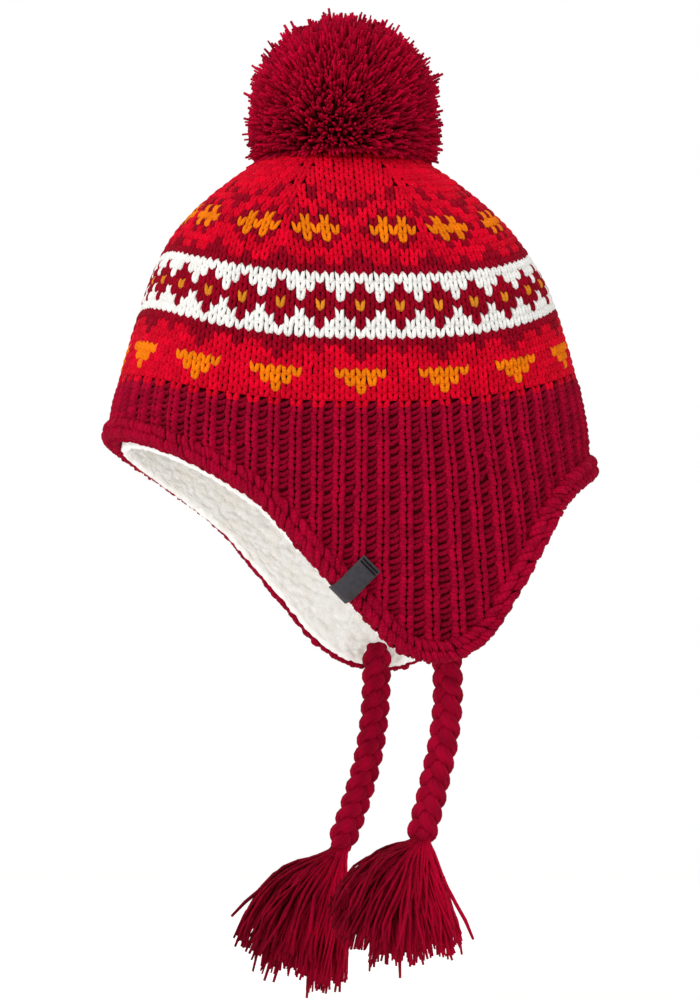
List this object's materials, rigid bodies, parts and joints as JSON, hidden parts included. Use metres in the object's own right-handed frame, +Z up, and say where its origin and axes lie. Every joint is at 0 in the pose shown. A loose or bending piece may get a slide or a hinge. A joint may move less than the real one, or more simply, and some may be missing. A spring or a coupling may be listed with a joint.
{
  "type": "earflap cap",
  "caption": "Knitted earflap cap with fleece lining, rolled edge, pompom and plaited ties with tassels.",
  "frame": {"origin": "middle of the head opening at the height of the front edge, where the cap sits on a head", "axes": "+Z up to the pompom, -Y to the front of the cap, +X to the wearer's left"},
  "size_m": [0.1486, 0.2043, 0.4135],
  "materials": {
    "crown_knit": "chunky stranded knitting in soft acrylic and wool yarn",
    "rib_knit": "chunky ribbed knitting in soft acrylic and wool yarn",
    "fleece": "creamy sherpa pile in small curls",
    "pompom_yarn": "cut yarn ends",
    "tab_tape": "plain woven polyester tape"
  },
  "bodies": {
    "root": {"crown": "crown_knit", "ribbed_band": "rib_knit", "rolled_edge": "rib_knit", "fleece_lining": "fleece", "pompom": "pompom_yarn", "braid_left": "rib_knit", "braid_right": "rib_knit", "tassel_left": "pompom_yarn", "tassel_right": "pompom_yarn", "side_tab": "tab_tape"}
  },
  "joints": []
}
